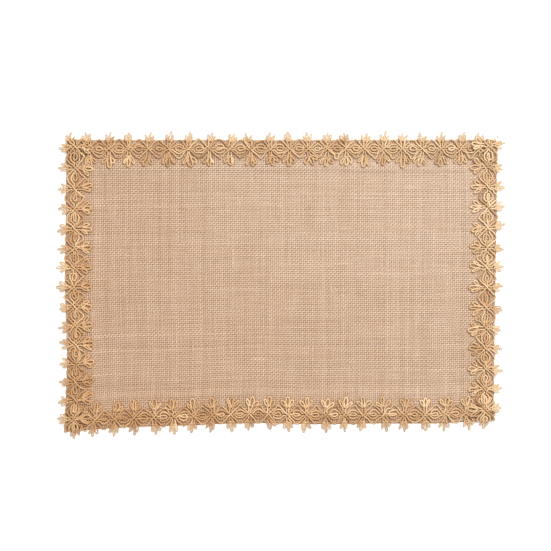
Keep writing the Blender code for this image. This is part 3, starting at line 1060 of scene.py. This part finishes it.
def count_property(name, description, default, low=0):
    """A property that holds a whole number."""
    return IntProperty(name=name, description=description, default=default, min=low)


def colour_property(name, description, default):
    """A property that holds a colour."""
    return FloatVectorProperty(name=name, description=description, default=default, min=0.0, max=1.0,
                               subtype="COLOR")


class HessianSettings(bpy.types.PropertyGroup):
    """Sizes and colours of the woven cloth."""
    seed: count_property("Seed", "Which of the chance variations is made", 7)
    pitch: length_property("Pitch", "From one yarn to the next", 2.05 * MM, min=1.5 * MM, max=4 * MM)
    yarn_width: length_property("Yarn width", "Width of a flattened yarn", 1.94 * MM)
    yarn_thickness: length_property("Yarn thickness", "Thickness of a flattened yarn", 0.53 * MM)
    between: share_property("Between crossings", "Yarn width between two crossings", 0.94, 0.5, 1.2)
    unevenness: share_property("Unevenness", "How much a yarn's width varies", 0.09, 0.0, 0.3)
    wander: length_property("Wander", "How far single yarns stray sideways", 0.11 * MM)
    drift: length_property("Drift", "How far the weave as a whole strays", 0.30 * MM)
    hem_ease: length_property("Hem ease", "Length over which the face comes down off the hem", 7 * MM)
    # Strength of the painted shade on the cloth under and between the lace cords
    painted_lace_shade: FloatProperty(
        name="Under the lace", default=3.0, min=0.0,
        description="How much darker the cloth is under the cords and in the gaps between them")
    loose_fibres: count_property("Loose fibres", "Fibres that stand off each band of yarns", 420)
    bands: count_property("Bands", "Pieces that each set of yarns is kept in", 5, 1)
    colour: colour_property("Colour", "Colour of most fibres", (0.58, 0.425, 0.31))
    dark: colour_property("Dark fibres", "Colour of the darkest fibres", (0.40, 0.20, 0.085))
    pale: colour_property("Pale fibres", "Colour of the palest fibres", (0.80, 0.65, 0.52))


class LaceSettings(bpy.types.PropertyGroup):
    """Sizes and colours of the braided jute lace."""
    seed: count_property("Seed", "Which of the chance variations is made", 40)
    cord: length_property("Cord", "Thickness of a cord over both plies", 1.95 * MM)
    ply: length_property("Ply", "Thickness of one ply", 1.17 * MM)
    flatness: share_property("Flatness", "A cord's height as a share of its width", 0.72, 0.4, 1.0)
    twist_pitch: length_property("Twist", "Length of one full turn of the plies", 3.4 * MM)
    step: length_property("Step", "Spacing of the mesh's rings", 0.62 * MM)
    petal_reach: length_property("Petal reach", "From the lace's middle to its tips", SIDES[0].reach)
    frame_reach: length_property("Frame reach", "From the lace's middle to a frame cord's turn",
                                 SIDES[0].apex)
    packing: share_property("Packing", "Rise of a cord for each cord that it lies on", 0.70, 0.3, 1.2)
    jitter: length_property("Jitter", "How far each bend strays from its place", 0.38 * MM)
    fan_sway: FloatProperty(name="Fan sway", description="How far a fan leans, in degrees", default=7.5)
    droop: length_property("Droop", "How far the outer tips hang below the rim", 1.1 * MM)
    lap_lift: length_property("Lap lift", "Rise of a lace's end over the one below", 2.6 * MM)
    lap_reach: length_property("Lap reach", "How far in from the corner the rise starts", 9 * MM)
    lap_ramp: length_property("Lap ramp", "Length of the rise", 10 * MM)
    loose_fibres: count_property("Loose fibres", "Fibres that stand off each cord", 220)
    end_trim: length_property("End trim", "How far the cut ends stand past the cloth", 0.5 * MM)
    colour: colour_property("Colour", "Colour of most fibres", (0.66, 0.435, 0.24))
    dark: colour_property("Dark fibres", "Colour of the darkest fibres", (0.33, 0.155, 0.055))
    pale: colour_property("Pale fibres", "Colour of the palest fibres", (0.93, 0.77, 0.535))


class SeamSettings(bpy.types.PropertyGroup):
    """Sizes and colours of the stitches that hold the lace down."""
    seed: count_property("Seed", "Which of the chance variations is made", 70)
    thread: length_property("Thread", "Thickness of the thread", 0.34 * MM)
    stitch: length_property("Stitch", "From one stitch to the next", 4.2 * MM)
    colour: colour_property("Colour", "Colour of the thread", (0.62, 0.42, 0.26))
    dark: colour_property("Dark strands", "Colour of its hollows", (0.40, 0.25, 0.14))
    pale: colour_property("Pale strands", "Colour of its highlights", (0.80, 0.60, 0.42))


class StageSettings(bpy.types.PropertyGroup):
    """The floor, the lights and the camera."""
    floor_size: length_property("Floor size", "Width of the floor", 6.0)
    floor: colour_property("Floor", "Colour of the floor", (0.90, 0.90, 0.90))
    floor_glow: FloatProperty(name="Floor glow", description="Light that the floor gives off itself",
                              default=0.5, min=0.0)
    key: FloatProperty(name="Key light", description="Power of the key softbox", default=108.0, unit="POWER")
    top: FloatProperty(name="Top light", description="Power of the large softbox", default=32.0, unit="POWER")
    fill: FloatProperty(name="Fill", description="Strength of the light from all round", default=0.20)
    camera_height: length_property("Camera height", "Height of the camera over the floor", 1.7)
    view_width: length_property("View width", "Width that the camera takes in", 0.5523)
    aim: FloatVectorProperty(name="Aim", description="What the middle of the view looks at", size=2,
                             default=(-5.3 * MM, 6.5 * MM), subtype="XYZ", unit="LENGTH")


# ---------------------------------------------------------------- operators

class WeaveHessian(bpy.types.Operator):
    """Weave the hessian cloth with its hem turned under"""
    bl_idname = "table_mat.weave_hessian"
    bl_label = "Weave hessian"

    def execute(self, context):
        weave_hessian(context.scene.table_mat_hessian, context.scene.table_mat_lace)
        return {"FINISHED"}


class BraidLace(bpy.types.Operator):
    """Braid the jute lace of all four sides"""
    bl_idname = "table_mat.braid_lace"
    bl_label = "Braid lace"

    def execute(self, context):
        settings = context.scene.table_mat_lace
        material = cord_material(settings)
        for side in SIDES:
            braid_side(side, material, settings)
        return {"FINISHED"}


class SewSeams(bpy.types.Operator):
    """Sew the lace down with two rows of stitches on each side"""
    bl_idname = "table_mat.sew_seams"
    bl_label = "Sew seams"

    def execute(self, context):
        settings = context.scene.table_mat_seams
        material = thread_material(settings)
        cover = LaceCover(context.scene.table_mat_lace)
        for side in SIDES:
            sew_side(side, material, settings, cover)
        return {"FINISHED"}


class SetStage(bpy.types.Operator):
    """Set up the floor, the lights and the camera"""
    bl_idname = "table_mat.set_stage"
    bl_label = "Set stage"

    def execute(self, context):
        set_stage(context.scene.table_mat_stage)
        return {"FINISHED"}


class TableMatPanel(bpy.types.Panel):
    """The table mat's settings and the buttons that make its pieces"""
    bl_idname = "VIEW3D_PT_table_mat"
    bl_label = "Table mat"
    bl_space_type = "VIEW_3D"
    bl_region_type = "UI"
    bl_category = "Table Mat"

    def draw(self, context):
        scene = context.scene
        for operator, settings in (
            (SetStage, scene.table_mat_stage),
            (WeaveHessian, scene.table_mat_hessian),
            (BraidLace, scene.table_mat_lace),
            (SewSeams, scene.table_mat_seams),
        ):
            box = self.layout.box()
            for name in settings.__annotations__:
                box.prop(settings, name)
            box.operator(operator.bl_idname)


CLASSES = (HessianSettings, LaceSettings, SeamSettings, StageSettings,
           WeaveHessian, BraidLace, SewSeams, SetStage, TableMatPanel)
POINTERS = {"table_mat_hessian": HessianSettings, "table_mat_lace": LaceSettings,
            "table_mat_seams": SeamSettings, "table_mat_stage": StageSettings}


def register():
    for cls in CLASSES:
        bpy.utils.register_class(cls)
    for name, group in POINTERS.items():
        setattr(bpy.types.Scene, name, PointerProperty(type=group))


def unregister():
    for name in POINTERS:
        delattr(bpy.types.Scene, name)
    for cls in reversed(CLASSES):
        bpy.utils.unregister_class(cls)


def main():
    register()
    bpy.ops.table_mat.set_stage()
    bpy.ops.table_mat.weave_hessian()
    bpy.ops.table_mat.braid_lace()
    bpy.ops.table_mat.sew_seams()


if __name__ == "__main__":
    main()
